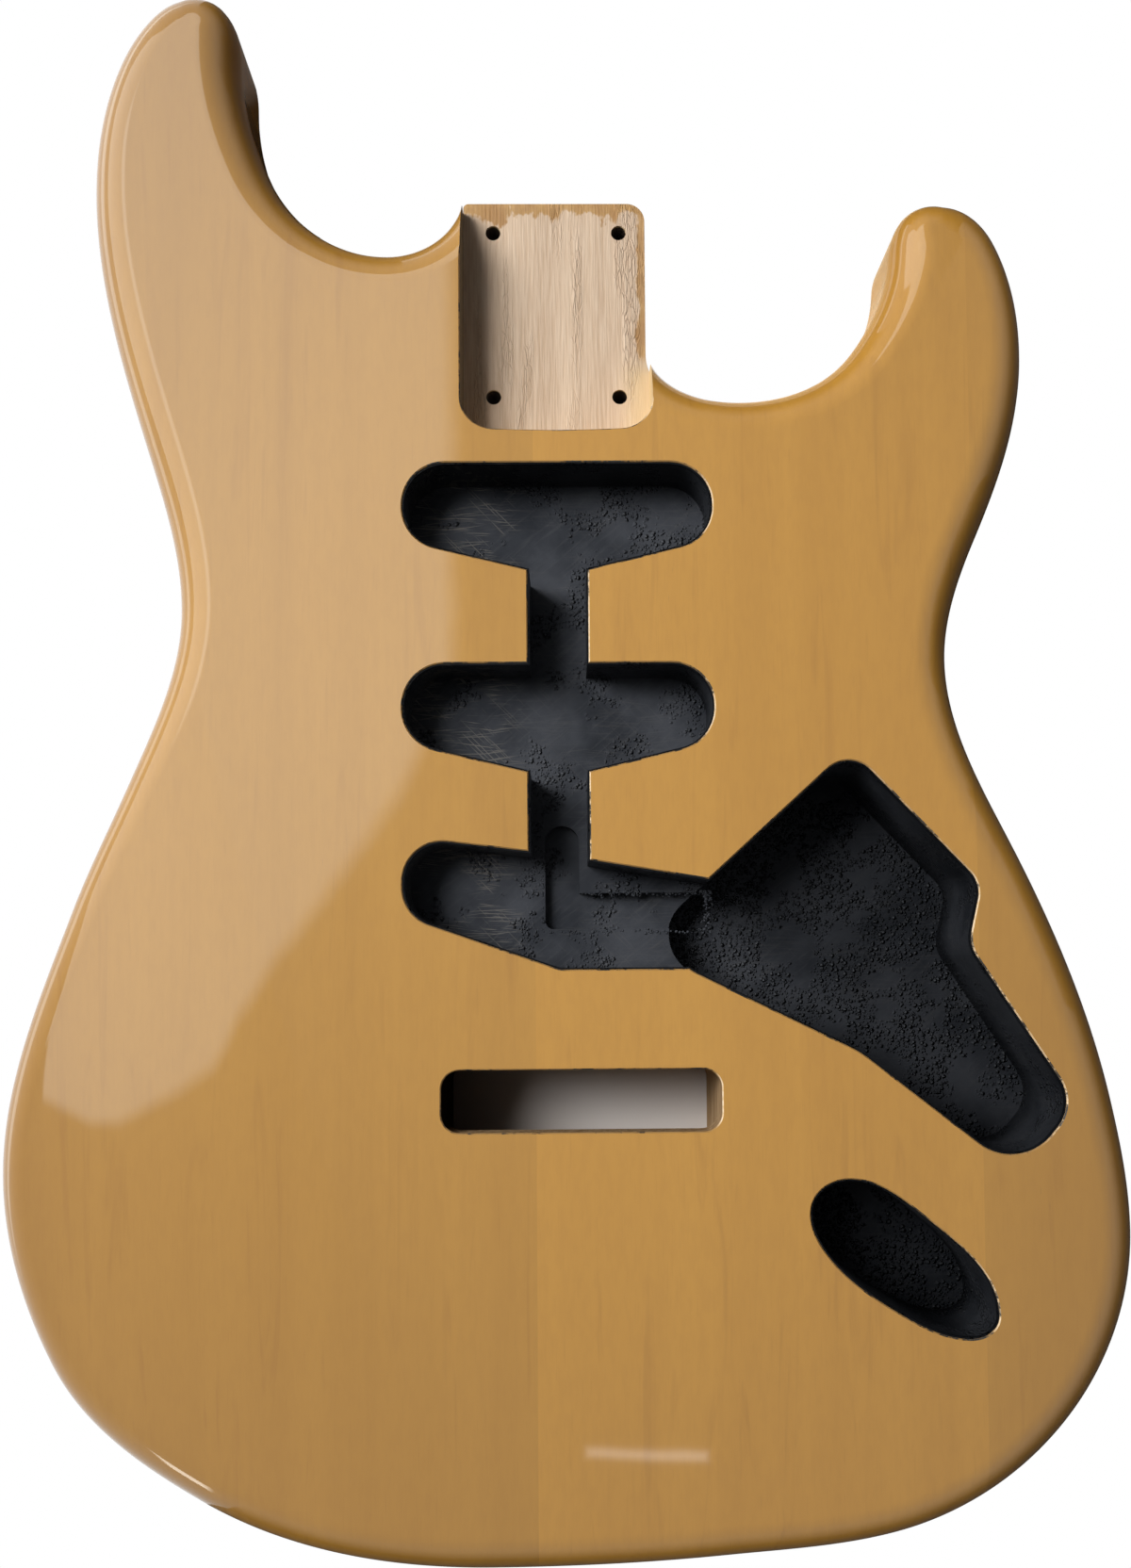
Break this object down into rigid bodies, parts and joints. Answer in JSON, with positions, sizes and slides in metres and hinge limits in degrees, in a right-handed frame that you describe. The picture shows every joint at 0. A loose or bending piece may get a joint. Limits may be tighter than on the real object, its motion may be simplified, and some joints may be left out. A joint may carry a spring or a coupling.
{
  "type": "electric guitar body",
  "caption": "Solid double cutaway electric guitar body with a neck pocket, routed pickup, control and jack cavities, a tremolo slot and a spring cavity.",
  "frame": {"origin": "middle of the four neck screw holes, on the floor of the neck pocket", "axes": "+X to the treble side, +Y to the neck, +Z out of the front face"},
  "size_m": [0.3306, 0.462, 0.0445],
  "materials": {
    "amber_lacquered_wood": "straight-grained pale wood under clear amber gloss lacquer; bare in the neck pocket",
    "conductive_coat": "brushed black conductive paint, satin, with pebbled clumps on the floors"
  },
  "bodies": {
    "root": {"bass_side_board": "amber_lacquered_wood", "middle_board": "amber_lacquered_wood", "treble_bout_board": "amber_lacquered_wood", "treble_horn_board": "amber_lacquered_wood", "cavity_shielding_coat": "conductive_coat", "jack_cavity_shielding_coat": "conductive_coat"}
  },
  "joints": []
}
